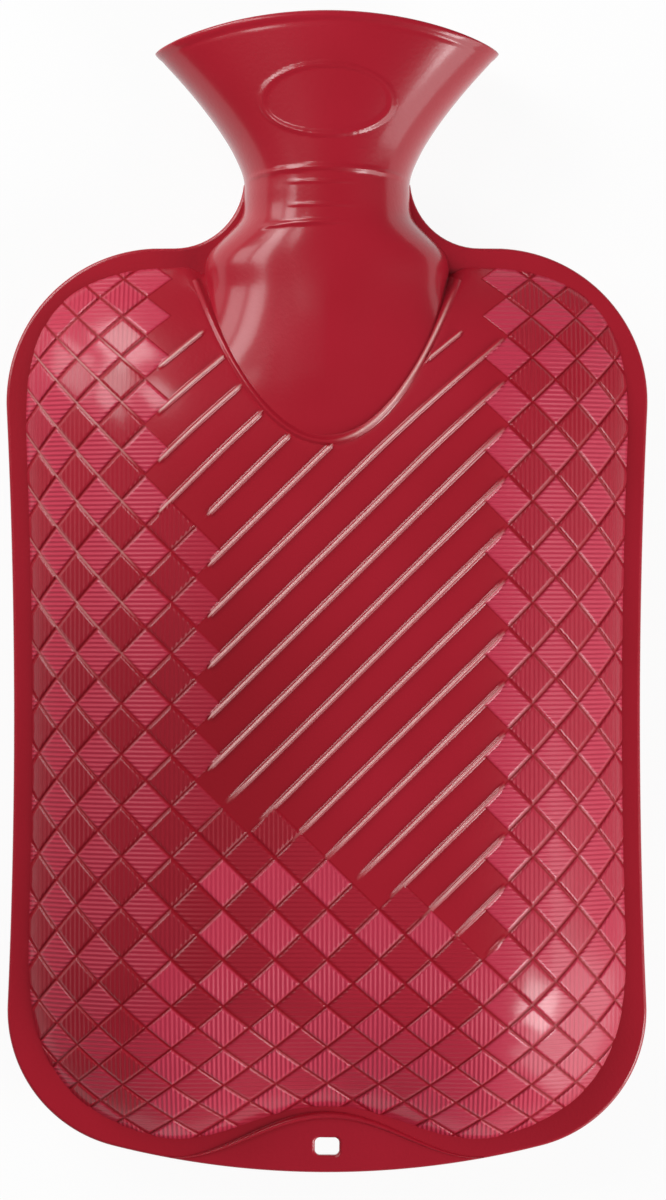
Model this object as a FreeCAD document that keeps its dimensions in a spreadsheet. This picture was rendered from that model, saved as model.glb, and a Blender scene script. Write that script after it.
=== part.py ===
import FreeCAD, Part
import math
import os
import Sketcher
from FreeCAD import Placement, Rotation, Vector

# Hot water bottle of moulded soft plastic, lying on its back, with its screw stopper and sealing washer.
# X is across the bottle, Y along it towards the mouth, Z up out of the patterned front. Millimetres.
# The origin is under the middle of the bottle, on the surface it lies on.

DRIVING_SIZES = {
    # Body outline, as it is seen from the front
    "body_width": 184.0,
    "waist_depth": 2.2,
    "body_length": 265.0,
    "top_corner_radius": 44.0,
    "bottom_corner_radius": 40.0,
    "bottom_edge_radius": 250.0,
    "flange_width": 4.0,
    "flange_thickness": 3.0,
    # Swelling of the reservoir and its wall
    "body_thickness": 50.0,
    "swell_width": 60.0,
    "swell_power": 2.5,
    "wall": 2.0,
    "weld_width": 2.8,
    "bore_lap": 1.0,
    "back_press": 0.8,
    # Hanging tab under the reservoir
    "arch_height": 17.8,
    "arch_half_width": 50.0,
    "tab_ridge_width": 2.4,
    "tab_ridge_height": 1.6,
    "hole_width": 7.0,
    "hole_height": 5.0,
    "hole_corner_radius": 1.5,
    "hole_to_bottom": 7.5,
    # Collar, neck and funnel
    "collar_length": 53.0,
    "collar_half_width": 35.0,
    "neck_length": 19.0,
    "neck_radius": 23.8,
    "neck_fillet_radius": 20.0,
    "bore_radius": 18.5,
    "thread_length": 15.0,
    "funnel_length": 46.0,
    "mouth_half_width": 49.4,
    "mouth_half_depth": 23.9,
    "mouth_drop": 9.5,
    "flare_power": 1.4,
    "rim_band": 2.3,
    # Raised pattern on the front
    "relief_height": 0.6,
    "lattice_pitch_x": 14.64,
    "lattice_pitch_y": 14.35,
    "lattice_origin_y": -80.4,
    "groove_width": 1.0,
    "pattern_margin": 3.0,
    "side_squeeze": 8.1,
    "top_squeeze": 10.2,
    "bottom_squeeze": 15.6,
    "rib_width": 1.8,
    "rib_height": 0.9,
    "rib_field_left": -33.0,
    "rib_field_upper_left": -47.0,
    "rib_field_step_y": 24.0,
    "rib_field_right": 49.6,
    "rib_field_low_y": -54.0,
    "rib_field_fall": 0.6,
    "rib_field_top_y": 75.0,
    "medallion_half_width": 19.0,
    "medallion_half_height": 10.5,
    "medallion_line": 1.4,
    "medallion_to_rim": 25.0,
    # Stopper and washer
    "shank_clearance": 0.4,
    "shank_wall": 3.0,
    "plug_floor": 3.0,
    "washer_thickness": 2.4,
    "washer_clearance": 0.8,
    "washer_gap": 0.3,
    "plug_flange_thickness": 3.0,
    "wing_half_width": 17.0,
    "wing_thickness": 6.0,
    "wing_height": 24.0,
    "wing_top_radius": 11.0,
    "grip_margin": 4.0,
    "grip_depth": 1.2,
    "thread_band": 1.4,
    "collar_groove": 4.0,
}

# Sizes that follow from the driving ones, as spreadsheet formulas
DERIVED_SIZES = {
    "bottom_y": "-(body_length + neck_length + funnel_length) / 2",
    "shoulder_y": "bottom_y + body_length",
    "seat_y": "shoulder_y + neck_length",
    "rim_y": "seat_y + funnel_length",
    "centre_z": "body_thickness / 2",
    "side_length": "body_length - top_corner_radius - bottom_corner_radius",
    "waist_y": "shoulder_y - top_corner_radius - side_length / 2",
    "waist_x": "body_width / 2 - waist_depth",
    "side_radius": "side_length ^ 2 / (8 * waist_depth)",
    "shoulder_x": "waist_x + (shoulder_y - waist_y) ^ 2 / (2 * side_radius)",
    "web_top_y": "shoulder_y + neck_fillet_radius + 1",
    "foot_rise": "bottom_edge_radius - sqrt(bottom_edge_radius ^ 2 - body_width ^ 2 / 4)",
    "foot_x": "waist_x + (bottom_y + foot_rise - waist_y) ^ 2 / (2 * side_radius)",
    "foot_y": "bottom_y + bottom_edge_radius - sqrt(bottom_edge_radius ^ 2 - foot_x ^ 2)",
    "rim_radius": "(mouth_half_width ^ 2 + mouth_drop ^ 2) / (2 * mouth_drop)",
    "hole_y": "bottom_y + hole_to_bottom",
    "neck_base_y": "seat_y - thread_length",
    "shank_radius": "bore_radius - shank_clearance",
    "washer_radius": "neck_radius - wall - washer_clearance",
    "plug_flange_y": "seat_y + washer_thickness",
    "wing_base_y": "plug_flange_y + plug_flange_thickness",
}

# Collar sections from the tip to the shoulder: place along the collar, width and depth as shares
COLLAR_SECTIONS = [
    (1.25, 2.00, 0.80),
    (1.05, 1.80, 0.940),
    (0.85, 1.62, 0.972),
    (0.65, 1.34, 0.972),
    (0.45, 1.12, 0.970),
    (0.25, 1.01, 0.965),
    (0.05, 0.980, 0.960),
]

# Sections of the passage through the collar, in the same terms
PASSAGE_SECTIONS = [
    (1.05, 1.55, 0.86),
    (0.55, 1.05, 0.86),
    (0.05, 0.86, 0.84),
]

# Funnel sections from the seat to beyond the rim, as shares of the way to the mouth's corners
FUNNEL_SECTIONS = [0.0, 0.2, 0.4, 0.6, 0.8, 1.0, 1.2, 1.4]

# Corners of a diamond in lattice steps, one after the other round it
CELL_CORNERS = ((-0.5, -0.5), (-0.5, 0.5), (0.5, 0.5), (0.5, -0.5))

# The hollow's facets are coarser than the front's
HOLLOW_CELL = 2.0

# Halvings in a search for a place
SEARCH_STEPS = 40

doc = FreeCAD.newDocument("HotWaterBottle")


def make_sheet():
    """Spreadsheet with one row for each size: its name and its value."""
    sheet = doc.addObject("Spreadsheet::Sheet", "Sizes")
    rows = [(name, str(value)) for name, value in DRIVING_SIZES.items()]
    rows += [(name, "=" + formula) for name, formula in DERIVED_SIZES.items()]
    for row, (name, content) in enumerate(rows, start=1):
        sheet.set("A%d" % row, name)
        sheet.set("B%d" % row, content)
        sheet.setAlias("B%d" % row, name)
    doc.recompute()
    return sheet


sheet = make_sheet()


def size(name):
    """One value read from the spreadsheet."""
    return float(sheet.get(name))


def bind(thing, **places):
    """Bind properties to formulas over the sheet's names; a double underscore stands for a dot."""
    for place, formula in places.items():
        thing.setExpression(place.replace("__", "."), tied(formula))


def tied(formula):
    """The formula with each size name pointing into the sheet."""
    names = sorted(list(DRIVING_SIZES) + list(DERIVED_SIZES), key=len, reverse=True)
    words = []
    word = ""
    for letter in formula + " ":
        if letter.isalnum() or letter == "_":
            word += letter
            continue
        words.append("Sizes." + word if word in names else word)
        words.append(letter)
        word = ""
    return "".join(words).strip()


def plane_of(body, role):
    """One of a body's own origin planes."""
    return [plane for plane in body.Origin.OriginFeatures if plane.Role == role][0]


def add_sketch(body, name, role="XY_Plane"):
    sketch = body.newObject("Sketcher::SketchObject", name)
    sketch.AttachmentSupport = [(plane_of(body, role), "")]
    sketch.MapMode = "FlatFace"
    return sketch


def pin_point(sketch, geometry, end, x_formula, y_formula):
    """Hold one end of a line or arc at a place given by two formulas."""
    for kind, formula, axis in (("DistanceX", x_formula, "x"), ("DistanceY", y_formula, "y")):
        if formula == "0":
            on_axis = -2 if axis == "x" else -1
            sketch.addConstraint(Sketcher.Constraint("PointOnObject", geometry, end, on_axis))
            continue
        point = sketch.getPoint(geometry, end)
        value = point.x if axis == "x" else point.y
        if value < 0:
            index = sketch.addConstraint(Sketcher.Constraint(kind, geometry, end, -1, 1, -value))
            sketch.setExpression("Constraints[%d]" % index, tied("-(%s)" % formula))
        else:
            index = sketch.addConstraint(Sketcher.Constraint(kind, -1, 1, geometry, end, value))
            sketch.setExpression("Constraints[%d]" % index, tied(formula))


def set_radius(sketch, geometry, name):
    index = sketch.addConstraint(Sketcher.Constraint("Radius", geometry, size(name)))
    sketch.setExpression("Constraints[%d]" % index, tied(name))


def join(sketch, first, first_end, second, second_end):
    sketch.addConstraint(Sketcher.Constraint("Coincident", first, first_end, second, second_end))


def upright_edges(shape, places):
    """Names of the edges along Z that stand at the given places in the plan."""
    found = []
    for number, edge in enumerate(shape.Edges, start=1):
        box = edge.BoundBox
        if box.ZLength < 0.5 or box.XLength > 0.01 or box.YLength > 0.01:
            continue
        for x, y in places:
            if math.hypot(edge.CenterOfMass.x - x, edge.CenterOfMass.y - y) < 0.1:
                found.append("Edge%d" % number)
    return found


def round_corners(body, name, places, radius_name):
    """Fillet on the upright edges at the given places."""
    base = body.Tip
    fillet = body.newObject("PartDesign::Fillet", name)
    fillet.Base = (base, upright_edges(base.Shape, places))
    bind(fillet, Radius=radius_name)
    doc.recompute()


def arc_between(centre, radius, start, end):
    """Arc of a circle from one point to another, the way that angles grow."""
    angles = [math.atan2(point.y - centre.y, point.x - centre.x) for point in (start, end)]
    if angles[1] < angles[0]:
        angles[1] += 2 * math.pi
    return Part.ArcOfCircle(Part.Circle(centre, Vector(0, 0, 1), radius), angles[0], angles[1])


def flip(point):
    """The point on the other side of the middle line."""
    return Vector(-point.x, point.y, 0)


def make_flange():
    """Flat welded edge all round the body, with its corners, neck fillets and hanging tab."""
    body = doc.addObject("PartDesign::Body", "EdgeFlange")
    bind(body, Placement__Base__z="centre_z - flange_thickness / 2")
    sketch = add_sketch(body, "FlangeOutline")
    foot = Vector(size("foot_x"), size("foot_y"), 0)
    shoulder = Vector(size("shoulder_x"), size("shoulder_y"), 0)
    neck = Vector(size("neck_radius"), size("shoulder_y"), 0)
    top = Vector(size("neck_radius"), size("web_top_y"), 0)
    side_centre = Vector(size("waist_x") + size("side_radius"), size("waist_y"), 0)
    bottom_centre = Vector(0, size("bottom_y") + size("bottom_edge_radius"), 0)
    bottom = sketch.addGeometry(arc_between(bottom_centre, size("bottom_edge_radius"), flip(foot), foot))
    right = sketch.addGeometry(arc_between(side_centre, size("side_radius"), shoulder, foot))
    left_arc = arc_between(flip(side_centre), size("side_radius"), flip(foot), flip(shoulder))
    left = sketch.addGeometry(left_arc)
    corners = [shoulder, neck, top, flip(top), flip(neck), flip(shoulder)]
    lines = [
        sketch.addGeometry(Part.LineSegment(corners[i], corners[i + 1]))
        for i in range(len(corners) - 1)
    ]
    join(sketch, bottom, 2, right, 2)
    join(sketch, right, 1, lines[0], 1)
    for first, second in zip(lines, lines[1:]):
        join(sketch, first, 2, second, 1)
    join(sketch, lines[-1], 2, left, 2)
    join(sketch, left, 1, bottom, 1)
    pin_point(sketch, bottom, 2, "foot_x", "foot_y")
    pin_point(sketch, bottom, 1, "-foot_x", "foot_y")
    pin_point(sketch, lines[0], 1, "shoulder_x", "shoulder_y")
    pin_point(sketch, lines[1], 1, "neck_radius", "shoulder_y")
    pin_point(sketch, lines[2], 1, "neck_radius", "web_top_y")
    pin_point(sketch, lines[3], 1, "-neck_radius", "web_top_y")
    pin_point(sketch, lines[4], 1, "-neck_radius", "shoulder_y")
    pin_point(sketch, lines[4], 2, "-shoulder_x", "shoulder_y")
    set_radius(sketch, bottom, "bottom_edge_radius")
    set_radius(sketch, right, "side_radius")
    set_radius(sketch, left, "side_radius")
    pad = body.newObject("PartDesign::Pad", "FlangePlate")
    pad.Profile = sketch
    bind(pad, Length="flange_thickness")
    doc.recompute()
    for name, point, radius_name in (
        ("TopCorners", shoulder, "top_corner_radius"),
        ("BottomCorners", foot, "bottom_corner_radius"),
        ("NeckFillets", neck, "neck_fillet_radius"),
    ):
        round_corners(body, name, [(point.x, point.y), (-point.x, point.y)], radius_name)
    cut_hanging_hole(body)
    return body


def cut_hanging_hole(body):
    """Rounded slot in the middle of the tab."""
    sketch = add_sketch(body, "HangingHole")
    half_width = size("hole_width") / 2
    half_height = size("hole_height") / 2
    middle = size("hole_y")
    corners = [(-half_width, middle - half_height), (half_width, middle - half_height)]
    corners += [(half_width, middle + half_height), (-half_width, middle + half_height)]
    points = [Vector(x, y, 0) for x, y in corners]
    lines = [sketch.addGeometry(Part.LineSegment(points[i], points[(i + 1) % 4])) for i in range(4)]
    for i in range(4):
        join(sketch, lines[i], 2, lines[(i + 1) % 4], 1)
    x_formulas = ["-hole_width / 2", "hole_width / 2", "hole_width / 2", "-hole_width / 2"]
    y_formulas = ["hole_y - hole_height / 2"] * 2 + ["hole_y + hole_height / 2"] * 2
    for line, x_formula, y_formula in zip(lines, x_formulas, y_formulas):
        pin_point(sketch, line, 1, x_formula, y_formula)
    pocket = body.newObject("PartDesign::Pocket", "HangingHolePocket")
    pocket.Profile = sketch
    pocket.Type = "ThroughAll"
    pocket.Midplane = True
    doc.recompute()
    round_corners(body, "HangingHoleCorners", corners, "hole_corner_radius")


def side_half_width(y):
    """Half width of the body at a place along it, without its corners."""
    return size("waist_x") + (y - size("waist_y")) ** 2 / (2 * size("side_radius"))


def outline_bottom(x):
    """Lowest line of the body, a shallow arc."""
    radius = size("bottom_edge_radius")
    return size("bottom_y") + radius - math.sqrt(radius**2 - x**2)


def arch_share(x):
    """Bell-shaped rise of the arch over the hanging tab, from 0 at its feet to 1 at its crest."""
    share = min(abs(x) / size("arch_half_width"), 1.0)
    return math.cos(math.pi * share / 2) ** 2


def bottom_edge(x):
    """Lower border of the reservoir, arched over the hanging tab."""
    edge = size("flange_width")
    return outline_bottom(x) + edge + (size("arch_height") - edge) * arch_share(x)


def corner_power(radius_name, inset):
    """Power of the superellipse that follows a round corner of the body."""
    radius = size(radius_name) - inset
    return math.log(2) / -math.log(1 - (1 - math.sqrt(0.5)) * radius / size("swell_width"))


def swell_height(x, y, rise, inset):
    """Height of the reservoir's skin over the middle plane; inset moves its border inwards."""
    width = size("swell_width")
    side = side_half_width(y) - inset
    top = size("shoulder_y") - inset
    bottom = bottom_edge(x) + inset - size("flange_width")
    across = max(0.0, abs(x) - side + width) / width
    if y > size("waist_y"):
        along = max(0.0, y - top + width) / width
        power = corner_power("top_corner_radius", inset)
    else:
        along = max(0.0, bottom + width - y) / width
        power = corner_power("bottom_corner_radius", inset)
    reach = (across**power + along**power) ** (1 / power)
    return rise * (1 - reach ** size("swell_power"))


def add_feature(name, shape, z=0.0):
    """Shape worked out in code, placed at a height."""
    feature = doc.addObject("Part::Feature", name)
    feature.Shape = shape
    feature.Placement = Placement(Vector(0, 0, z), Rotation())
    return feature


def add_loft(name, sections):
    """Solid through ellipses that stand across the bottle's length."""
    ellipses = []
    for number, (y_formula, width_formula, depth_formula) in enumerate(sections, start=1):
        ellipse = doc.addObject("Part::Ellipse", "%sSection%d" % (name, number))
        ellipse.Placement = Placement(Vector(0, 0, 0), Rotation(Vector(1, 0, 0), 90))
        bind(ellipse, MajorRadius=width_formula, MinorRadius=depth_formula)
        bind(ellipse, Placement__Base__y=y_formula, Placement__Base__z="centre_z")
        ellipses.append(ellipse)
    loft = doc.addObject("Part::Loft", name)
    loft.Sections = ellipses
    loft.Solid = True
    loft.Ruled = True
    return loft


def collar_sections(shares, grow):
    """Collar ellipses from their shares, grown or shrunk all round."""
    sections = []
    for place, width, depth in shares:
        y = "shoulder_y - %s * collar_length" % place
        half_width = "%s * collar_half_width + (%s)" % (width, grow)
        half_depth = "%s * centre_z + (%s)" % (depth, grow)
        sections.append((y, half_width, half_depth))
    return sections


def funnel_sections(grow):
    """Funnel ellipses from the seat to beyond the rim, grown or shrunk all round."""
    sections = []
    for share in FUNNEL_SECTIONS:
        y = "seat_y + %s * (funnel_length - mouth_drop)" % share
        flare = "(mouth_half_width - neck_radius) * %s ^ flare_power" % share
        half_width = "neck_radius + %s + (%s)" % (flare, grow)
        half_depth = "neck_radius + (mouth_half_depth - neck_radius) * %s + (%s)" % (share, grow)
        sections.append((y, half_width, half_depth))
    return sections


def neck_sections(grow):
    """Round neck between the collar and the seat."""
    radius = "neck_radius + (%s)" % grow
    return [
        ("neck_base_y + 0.35 * thread_length", radius + " + 0.6", radius),
        ("seat_y - 0.25 * thread_length", radius, radius),
    ]


def tube_sections(grow):
    """Sections of the whole outside from the collar to the funnel, grown or shrunk all round."""
    return collar_sections(COLLAR_SECTIONS, grow) + neck_sections(grow) + funnel_sections(grow)


def fuse(name, shapes):
    union = doc.addObject("Part::MultiFuse", name)
    union.Shapes = shapes
    return union


def cut(name, base, tool):
    difference = doc.addObject("Part::Cut", name)
    difference.Base = base
    difference.Tool = tool
    return difference


def common(name, shapes):
    shared = doc.addObject("Part::MultiCommon", name)
    shared.Shapes = shapes
    return shared


def collar_border(y, margin):
    """Half width of the smooth collar on the front, with a margin round it."""
    tip = size("shoulder_y") - size("collar_length") - margin
    length = size("collar_length") + margin
    share = max(0.0, (y - tip) / length)
    return (size("collar_half_width") + margin) * share**0.5


def in_rib_field(x, y):
    """Whether a place on the front lies in the field of slanting ribs."""
    left = size("rib_field_left")
    if y > size("rib_field_step_y"):
        left = size("rib_field_upper_left")
    floor = size("rib_field_low_y") - size("rib_field_fall") * (x - left)
    return left < x < size("rib_field_right") and y > floor


def squeezed(coordinate, start, span, gain, power):
    """Place of a lattice coordinate where the pattern crowds together beyond a start."""
    near = 0.0
    far = abs(coordinate)
    for _ in range(SEARCH_STEPS):
        middle = (near + far) / 2
        beyond = max(0.0, middle - start) / span
        if middle + gain * beyond**power < abs(coordinate):
            near = middle
        else:
            far = middle
    return math.copysign(near, coordinate)


def lattice_place(p, q):
    """Place on the body of a point given in steps along the two families of diamond edges."""
    across = (p + q) / 2 * size("lattice_pitch_x")
    along = size("lattice_origin_y") + (p - q) / 2 * size("lattice_pitch_y")
    span = size("swell_width")
    border = size("flange_width")
    x = squeezed(across, size("waist_x") - border - span, span, size("side_squeeze"), 4)
    if along > 0:
        y = squeezed(along, size("shoulder_y") - border - span, span, size("top_squeeze"), 2)
    else:
        y = squeezed(along, -size("bottom_y") - border - span, span, size("bottom_squeeze"), 2)
    return x, y


def inside_border(x, y, inset):
    """Whether a place lies inside the reservoir's border."""
    near_body = abs(x) < size("body_width") / 2 + size("flange_width")
    return near_body and swell_height(x, y, 1.0, inset) > 0.0


def border_place(x, y, inset):
    """Nearest place on the reservoir's border."""
    step = 0.05
    longest_move = 3.0
    rise = size("centre_z")
    for _ in range(12):
        value = swell_height(x, y, rise, inset)
        slope_x = (swell_height(x + step, y, rise, inset) - value) / step
        slope_y = (swell_height(x, y + step, rise, inset) - value) / step
        move = -value / max(slope_x**2 + slope_y**2, step)
        x += max(-longest_move, min(longest_move, move * slope_x))
        y += max(-longest_move, min(longest_move, move * slope_y))
    return x, y


def cell_kind(p, q):
    """What a diamond of the front carries: the flanks of slanting ribs, a raised pad or nothing."""
    x, y = lattice_place(p, q)
    inset = size("flange_width") + size("pattern_margin")
    if not inside_border(x, y, inset) or abs(x) < collar_border(y, size("collar_groove")):
        return "plain"
    if in_rib_field(x, y):
        return "rib" if y < size("rib_field_top_y") else "plain"
    corners = [lattice_place(p + a, q + b) for a, b in CELL_CORNERS]
    clear = all(inside_border(cx, cy, inset) and abs(cx) > collar_border(cy, 0) for cx, cy in corners)
    return "pad" if clear and (p + q) % 2 == 0 else "plain"


class Skin:
    """Flat facets that follow the diamonds of the pattern and close to a body."""

    def __init__(self, inset, cell=1.0):
        self.inset = inset
        self.cell = cell
        self.points = []
        self.numbers = {}
        self.facets = []
        self.border = set()
        self.kinds = {}

    def kind(self, p, q):
        """What a cell carries, worked out once."""
        if (p, q) not in self.kinds:
            self.kinds[(p, q)] = cell_kind(p, q)
        return self.kinds[(p, q)]

    def point(self, p, q, side, rise, lift=0.0):
        """Number of the point at a lattice place, on the front with side 1 or the back with -1."""
        x, y = lattice_place(p * self.cell, q * self.cell)
        inside = inside_border(x, y, self.inset)
        name = (round(p, 4), round(q, 4), side if inside else 0)
        if name in self.numbers:
            return self.numbers[name]
        self.numbers[name] = len(self.points)
        if inside:
            height = min(swell_height(x, y, rise, self.inset), size("centre_z")) + lift
        else:
            x, y = border_place(x, y, self.inset)
            height = 0.0
            self.border.add(len(self.points))
        self.points.append(Vector(x, y, side * height))
        return self.numbers[name]

    def facet(self, first, second, third, side):
        """Triangle between three points, unless it has no area or lies flat on the border."""
        corners = {first, second, third}
        if len(corners) < 3 or corners <= self.border:
            return
        self.facets.append((first, second, third) if side > 0 else (first, third, second))

    def quad(self, corners, side):
        self.facet(corners[0], corners[1], corners[2], side)
        self.facet(corners[0], corners[2], corners[3], side)

    def crest(self, p, q, rise):
        """Corner of the front, lifted where ribs meet it on all sides."""
        around = [(p + a, q + b) for a, b in CELL_CORNERS]
        ribbed = all(self.kind(cp, cq) == "rib" for cp, cq in around)
        return self.point(p, q, 1, rise, size("rib_height") if ribbed else 0.0)

    def outline(self, p, q, rise):
        """The sides of a front cell as runs of points; a side that a rib crosses has its feet too."""
        foot = 0.5 - size("rib_width") / 2 / cell_side()
        corners = [self.crest(p + a, q + b, rise) for a, b in CELL_CORNERS]
        sides = []
        for number, (a, b) in enumerate(CELL_CORNERS):
            run = [corners[number]]
            beside = (p + 1, q) if a > 0 else (p - 1, q)
            next_a = CELL_CORNERS[(number + 1) % 4][0]
            if next_a == a and "rib" in (self.kind(p, q), self.kind(*beside)):
                for place in (math.copysign(foot, b), -math.copysign(foot, b)):
                    run.append(self.point(p + a, q + place, 1, rise))
            run.append(corners[(number + 1) % 4])
            sides.append(run)
        return sides

    def add_front_cell(self, p, q, rise):
        sides = self.outline(p, q, rise)
        kind = self.kind(p, q)
        if kind == "rib":
            low, low_foot, high_foot, high = sides[0]
            far_high, far_high_foot, far_low_foot, far_low = sides[2]
            self.quad((low, low_foot, far_low_foot, far_low), 1)
            self.quad((low_foot, high_foot, far_high_foot, far_low_foot), 1)
            self.quad((high_foot, high, far_high, far_high_foot), 1)
        elif kind == "pad":
            share = 1 - size("groove_width") / cell_side()
            lift = size("relief_height")
            top = [self.point(p + a * share, q + b * share, 1, rise, lift) for a, b in CELL_CORNERS]
            self.quad(top, 1)
            for number, run in enumerate(sides):
                for first, second in zip(run, run[1:]):
                    self.facet(first, second, top[number], 1)
                self.facet(run[-1], top[(number + 1) % 4], top[number], 1)
        elif sum(len(run) for run in sides) == 8:
            self.quad([run[0] for run in sides], 1)
        else:
            middle = self.point(p, q, 1, rise)
            for run in sides:
                for first, second in zip(run, run[1:]):
                    self.facet(first, second, middle, 1)

    def add_side(self, side, rise, patterned=False):
        """Facets of the whole front or back."""
        reach = int(2 * size("body_length") / size("lattice_pitch_y") / self.cell)
        for p in range(-reach, reach):
            for q in range(-reach, reach):
                places = [lattice_place((p + a) * self.cell, (q + b) * self.cell) for a, b in CELL_CORNERS]
                if not any(inside_border(x, y, self.inset) for x, y in places):
                    continue
                if patterned:
                    self.add_front_cell(p, q, rise)
                else:
                    self.quad([self.point(p + a, q + b, side, rise) for a, b in CELL_CORNERS], side)

    def body(self):
        """Closed solid inside the facets."""
        shell = Part.Shape()
        shell.makeShapeFromMesh((self.points, self.facets), 0.001)
        solid = Part.makeSolid(Part.makeShell(shell.Faces))
        if solid.Volume < 0:
            solid.reverse()
        return solid


def cell_side():
    """Width of a diamond between two of its edges."""
    return 1 / math.hypot(1 / size("lattice_pitch_x"), 1 / size("lattice_pitch_y"))


def tab_ridge():
    """Raised line on the arch, on both faces of the edge, thinning out towards its feet."""
    reach = 0.9 * size("arch_half_width")
    steps = 12
    upper = []
    lower = []
    for i in range(steps + 1):
        x = -reach + 2 * reach * i / steps
        share = arch_share(x)
        y = outline_bottom(x) + size("arch_height") * share
        upper.append(Vector(x, y, 0))
        lower.append(Vector(x, y - size("tab_ridge_width") * math.sqrt(share), 0))
    edges = []
    for points in (upper, lower):
        curve = Part.BSplineCurve()
        curve.interpolate(points)
        edges.append(curve.toShape())
    edges.append(Part.LineSegment(upper[0], lower[0]).toShape())
    edges.append(Part.LineSegment(upper[-1], lower[-1]).toShape())
    face = Part.Face(Part.Wire(Part.__sortEdges__(edges)))
    reach_z = size("flange_thickness") / 2 + size("tab_ridge_height")
    face.translate(Vector(0, 0, -reach_z))
    return face.extrude(Vector(0, 0, 2 * reach_z))


def medallion():
    """Bare oval outline on the funnel's front, as an upright ring."""
    solids = []
    middle = Vector(0, size("rim_y") - size("medallion_to_rim"), 0)
    for inset in (0, size("medallion_line")):
        half_width = size("medallion_half_width") - inset
        half_height = size("medallion_half_height") - inset
        oval = Part.Ellipse(middle, half_width, half_height)
        face = Part.Face(Part.Wire(oval.toShape()))
        solids.append(face.extrude(Vector(0, 0, size("body_thickness"))))
    return solids[0].cut(solids[1])


def ring_line(y):
    """Thin slice across the neck, where an end of its thread shows outside."""
    width = 4 * size("neck_radius")
    thickness = size("thread_band")
    corner = Vector(-width / 2, y - thickness / 2, -width / 2)
    return Part.makeBox(width, thickness, width, corner)


def add_cylinder(name, radius, height, y, z, turn):
    cylinder = doc.addObject("Part::Cylinder", name)
    cylinder.Placement = Placement(Vector(0, 0, 0), Rotation(Vector(1, 0, 0), turn))
    bind(cylinder, Radius=radius, Height=height, Placement__Base__y=y, Placement__Base__z=z)
    return cylinder


def make_shell_outside():
    """The bottle as a full body: swollen reservoir, welded edge, collar, neck and funnel."""
    half = size("centre_z")
    skin = Skin(size("flange_width"))
    skin.add_side(1, half, patterned=True)
    skin.add_side(-1, half + size("back_press"))
    swell = add_feature("Swell", skin.body(), half)
    tube = add_loft("Tube", tube_sections("0"))
    rim = add_cylinder("RimEnd", "rim_radius", "2 * body_thickness", "rim_y - rim_radius", "-centre_z", 0)
    open_tube = common("OpenTube", [tube, rim])
    ridge = add_feature("TabRidge", tab_ridge(), half)
    outside = fuse("Outside", [swell, open_tube, make_flange(), ridge])
    return outside, rim


def make_hollow():
    """The space inside: reservoir, collar, threaded neck bore and funnel."""
    half = size("centre_z")
    inner = Skin(size("flange_width") + size("weld_width"), HOLLOW_CELL)
    for side in (1, -1):
        inner.add_side(side, half - size("wall"))
    reservoir = add_feature("ReservoirHollow", inner.body(), half)
    to_bore = collar_sections(PASSAGE_SECTIONS, "0") + [("neck_base_y", "bore_radius", "bore_radius")]
    collar = add_loft("CollarHollow", to_bore)
    bore_length = "thread_length + 2 * bore_lap"
    bore = add_cylinder("NeckBore", "bore_radius", bore_length, "neck_base_y - bore_lap", "centre_z", -90)
    funnel = add_loft("FunnelHollow", funnel_sections("-wall"))
    return fuse("Hollow", [reservoir, collar, bore, funnel])


def make_relief(rim):
    """Everything raised on the outside: pads, ribs, rim band, thread lines and medallion."""
    half = size("centre_z")
    skin = add_loft("TubeSkin", tube_sections("relief_height"))
    rim_inside = add_cylinder(
        "RimBandEnd", "rim_radius - rim_band", "2 * body_thickness", "rim_y - rim_radius", "-centre_z", 0
    )
    band = cut("RimBand", rim, rim_inside)
    lines = Part.makeCompound([
        ring_line(size("seat_y") + size("thread_band")),
        ring_line(size("neck_base_y") + size("thread_band") / 2),
        medallion(),
    ])
    marks = add_feature("NeckMarks", lines, half)
    return [common("RimBandRaised", [band, skin]), common("NeckMarksRaised", [marks, skin])]


def make_bottle():
    """The moulded bottle, hollow and open at its mouth, flat where it lies."""
    outside, rim = make_shell_outside()
    hollow = make_hollow()
    relief = make_relief(rim)
    full = fuse("FullBottle", [outside] + relief)
    return cut("Bottle", full, hollow)


def polygon_sketch(body, name, corners):
    """Closed straight-sided sketch whose corners are pairs of formulas."""
    sketch = add_sketch(body, name)
    points = [Vector(value_of(x), value_of(y), 0) for x, y in corners]
    count = len(points)
    lines = [
        sketch.addGeometry(Part.LineSegment(points[i], points[(i + 1) % count])) for i in range(count)
    ]
    for i in range(count):
        join(sketch, lines[i], 2, lines[(i + 1) % count], 1)
    for line, (x, y) in zip(lines, corners):
        pin_point(sketch, line, 1, x, y)
    return sketch


def value_of(formula):
    """A formula over the sheet's names, worked out."""
    return float(sheet.evalExpression(tied(formula)))


def revolve(body, name, sketch):
    feature = body.newObject("PartDesign::Revolution", name)
    feature.Profile = sketch
    feature.ReferenceAxis = (sketch, ["V_Axis"])
    feature.Angle = 360
    doc.recompute()
    return feature


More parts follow.
